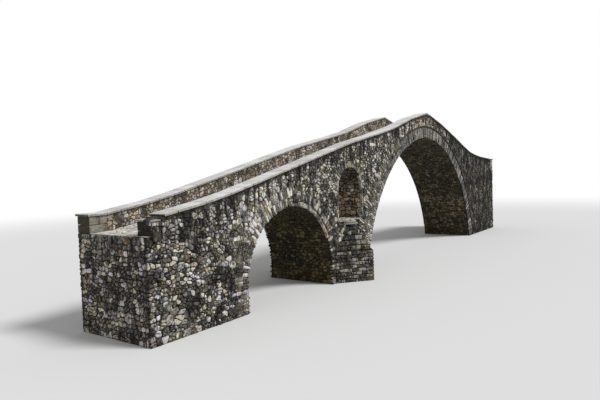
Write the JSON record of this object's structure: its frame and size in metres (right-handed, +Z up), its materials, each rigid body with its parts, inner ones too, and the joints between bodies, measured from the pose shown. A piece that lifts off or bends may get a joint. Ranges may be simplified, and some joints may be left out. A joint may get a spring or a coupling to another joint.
{
  "type": "stone arch footbridge",
  "caption": "Humped stone footbridge with a wide pointed arch, a small round arch and a relief arch through its pier, between low coped parapets.",
  "frame": {"origin": "middle of the footprint's box, at the level the masonry stands on", "axes": "+X along the bridge towards the main arch's bank, +Y across it away from the near face, +Z up"},
  "size_m": [30.08, 5.05, 7.199],
  "materials": {
    "wall_rubble": "rubble limestone in lime mortar, weathered grey-beige with dark joints and streaks",
    "coping_slabs": "pale grey limestone slabs, sawn top worn rough, slightly lavender",
    "dressed_pillar": "dressed grey limestone blocks, darkened by weather",
    "main_voussoirs": "thin smooth grey voussoirs set on edge",
    "drip_course": "thin grey slabs of the projecting drip course",
    "rough_voussoirs": "rough beige rubble voussoirs with open joints",
    "vault_rubble": "brown rubble of the soffits, damp and dark",
    "cutwater_rubble": "dark grey coursed rubble",
    "deck_cobbles": "worn pale cobbles with rusty soil between them",
    "core_fill": "packed rubble and earth",
    "sill_slab": "pale limestone slab"
  },
  "bodies": {
    "root": {"left_abutment": "wall_rubble", "central_pier": "wall_rubble", "right_abutment": "wall_rubble", "main_arch_vault": "vault_rubble", "main_arch_ring_near": "main_voussoirs", "main_arch_ring_far": "main_voussoirs", "main_arch_hood_near": "drip_course", "main_arch_hood_far": "drip_course", "small_arch_vault": "vault_rubble", "small_arch_ring_near": "rough_voussoirs", "small_arch_ring_far": "rough_voussoirs", "relief_arch_vault": "vault_rubble", "relief_arch_ring_near": "rough_voussoirs", "relief_arch_ring_far": "rough_voussoirs", "relief_sills": "sill_slab", "wall_left_near": "wall_rubble", "wall_left_far": "wall_rubble", "wall_pier_near": "wall_rubble", "wall_pier_far": "wall_rubble", "wall_haunch_left_near": "wall_rubble", "wall_haunch_left_far": "wall_rubble", "wall_haunch_right_near": "wall_rubble", "wall_haunch_right_far": "wall_rubble", "fill_left": "core_fill", "fill_right": "core_fill", "deck_left": "deck_cobbles", "deck_right": "deck_cobbles", "parapet_left_near": "wall_rubble", "parapet_left_far": "wall_rubble", "parapet_crown_near": "wall_rubble", "parapet_crown_far": "wall_rubble", "parapet_right_near": "wall_rubble", "parapet_right_far": "wall_rubble", "coping_near": "coping_slabs", "coping_far": "coping_slabs", "pillar_left_near": "dressed_pillar", "pillar_left_far": "dressed_pillar", "pillar_right_near": "dressed_pillar", "pillar_right_far": "dressed_pillar", "pillar_cap_left_near": "coping_slabs", "cutwater_near": "cutwater_rubble", "cutwater_far": "cutwater_rubble", "cutwater_cap_near": "cutwater_rubble", "cutwater_cap_far": "cutwater_rubble"}
  },
  "joints": []
}
